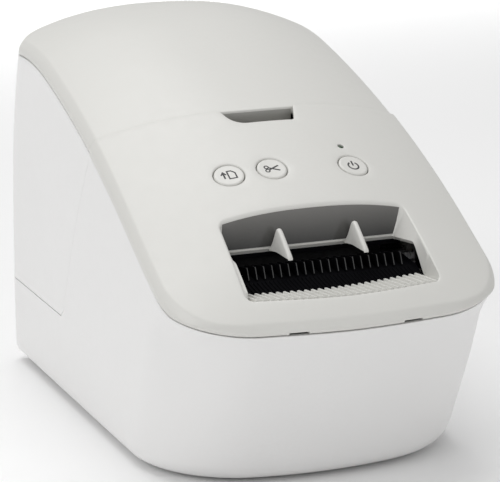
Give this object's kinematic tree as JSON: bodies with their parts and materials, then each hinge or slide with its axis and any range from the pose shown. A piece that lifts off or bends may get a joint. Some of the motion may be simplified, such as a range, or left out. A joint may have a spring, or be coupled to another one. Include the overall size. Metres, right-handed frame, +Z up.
{
  "type": "label printer",
  "caption": "Desktop thermal label printer: white case, arched warm-grey top, hinged lid over the label roll, ribbed label outlet, cutter and round push buttons.",
  "frame": {"origin": "on the table plane, under the centre of the printer's width and depth", "axes": "+X to the right as seen by a person facing its front, +Y towards its back, +Z up"},
  "size_m": [0.1256, 0.2118, 0.1446],
  "materials": {
    "case_white": "fine satin moulding texture",
    "panel_grey": "fine satin moulding texture, warm light grey",
    "outlet_grey": "fine satin moulding texture, warm light grey",
    "black_plastic": "satin black",
    "dark_plastic": "matt dark grey",
    "rubber": "matt black",
    "steel": "plain pressed or turned steel",
    "gear_plastic": "natural acetal",
    "motor_can": "plated steel can",
    "aluminium": "extruded, satin",
    "circuit_board": "green solder mask",
    "ceramic": "glazed ceramic",
    "label_paper": "wound thermal paper",
    "card": "brown card",
    "light_pipe": "clear tinted"
  },
  "bodies": {
    "base": {"board_screw_left": "steel", "board_screw_right": "steel", "bottom_plate": "dark_plastic", "button_board": "circuit_board", "case_screw_front_left": "steel", "case_screw_front_right": "steel", "case_screw_rear_left": "steel", "case_screw_rear_right": "steel", "cut_switch": "black_plastic", "cutter_motor": "motor_can", "feed_motor": "motor_can", "feed_switch": "black_plastic", "fixed_blade": "steel", "foot_front_left": "rubber", "foot_front_right": "rubber", "foot_rear_left": "rubber", "foot_rear_right": "rubber", "front_panel": "panel_grey", "grip_pocket": "outlet_grey", "head_crossbar": "steel", "head_pivot_pin": "steel", "hinge_pin": "steel", "idler_axle": "steel", "label_guide": "black_plastic", "label_outlet": "outlet_grey", "lid_catch": "steel", "lower_housing": "case_white", "main_board": "circuit_board", "platen_bearing_left": "gear_plastic", "platen_bearing_right": "gear_plastic", "power_inlet": "black_plastic", "power_supply": "dark_plastic", "power_switch": "black_plastic", "roll_bay": "dark_plastic", "side_plate_left": "steel", "side_plate_right": "steel", "status_light": "light_pipe", "usb_socket": "steel"},
    "lid": {"lid_shell": "case_white", "lid_skin": "panel_grey", "lid_hook_left": "dark_plastic", "lid_hook_right": "dark_plastic"},
    "feed_key": {"feed_button": "panel_grey"},
    "cut_key": {"cut_button": "panel_grey"},
    "power_key": {"power_button": "panel_grey"},
    "platen": {"platen_shaft": "steel", "platen_roller": "rubber", "platen_gear": "gear_plastic"},
    "idler": {"idler_gear": "gear_plastic"},
    "feed_pinion": {"motor_pinion": "gear_plastic"},
    "head": {"print_head": "ceramic", "heat_sink": "aluminium", "head_bracket": "steel", "head_spring_left": "steel", "head_spring_right": "steel"},
    "cutter_blade": {"moving_blade": "steel"},
    "cutter_gear": {"cutter_pinion": "gear_plastic"},
    "spool": {"label_spool": "black_plastic"},
    "label_roll": {"label_core": "card", "label_paper": "label_paper"}
  },
  "joints": [
    {"name": "lid_hinge", "type": "hinge", "parent": "base", "child": "lid", "pos_m": [0, 0.1013, 0.0438], "axis": [-1, 0, 0], "range_deg": [0, 75]},
    {"name": "feed_press", "type": "slide", "parent": "base", "child": "feed_key", "axis": [0, 0.4431, -0.8965], "range_m": [0, 0.0008], "stiffness_N_per_m": 700, "springref_m": -0.0004},
    {"name": "cut_press", "type": "slide", "parent": "base", "child": "cut_key", "axis": [0, 0.4431, -0.8965], "range_m": [0, 0.0008], "stiffness_N_per_m": 700, "springref_m": -0.0004},
    {"name": "power_press", "type": "slide", "parent": "base", "child": "power_key", "axis": [0, 0.4431, -0.8965], "range_m": [0, 0.0008], "stiffness_N_per_m": 700, "springref_m": -0.0004},
    {"name": "platen_spin", "type": "hinge", "parent": "base", "child": "platen", "pos_m": [0, -0.044, 0.0698], "axis": [1, 0, 0], "continuous": true},
    {"name": "idler_spin", "type": "hinge", "parent": "base", "child": "idler", "pos_m": [0, -0.03425, 0.0528], "axis": [1, 0, 0], "continuous": true},
    {"name": "feed_pinion_spin", "type": "hinge", "parent": "base", "child": "feed_pinion", "pos_m": [0, -0.044, 0.0418], "axis": [1, 0, 0], "continuous": true},
    {"name": "head_pivot", "type": "hinge", "parent": "base", "child": "head", "pos_m": [0, -0.016, 0.0813], "axis": [-1, 0, 0], "range_deg": [0, 3], "stiffness_Nm_per_rad": 2, "springref_deg": -5.73, "deforming": ["head_spring_left", "head_spring_right"]},
    {"name": "blade_slide", "type": "slide", "parent": "base", "child": "cutter_blade", "axis": [0, 0, 1], "range_m": [0, 0.006]},
    {"name": "cutter_pinion_spin", "type": "hinge", "parent": "base", "child": "cutter_gear", "pos_m": [0, -0.0655, 0.0643], "axis": [1, 0, 0], "range_deg": [0, 86]},
    {"name": "spool_lift", "type": "slide", "parent": "base", "child": "spool", "axis": [0, 0, 1], "range_m": [0, 0.012]},
    {"name": "label_roll_spin", "type": "hinge", "parent": "spool", "child": "label_roll", "pos_m": [0, 0.048, 0.0658], "axis": [1, 0, 0], "continuous": true}
  ],
  "couplings": [
    {"joint": "idler_spin", "follows": "platen_spin", "ratio": -0.86667},
    {"joint": "feed_pinion_spin", "follows": "platen_spin", "ratio": 2.1667},
    {"joint": "cutter_pinion_spin", "follows": "blade_slide", "rad_per_m": 250}
  ]
}
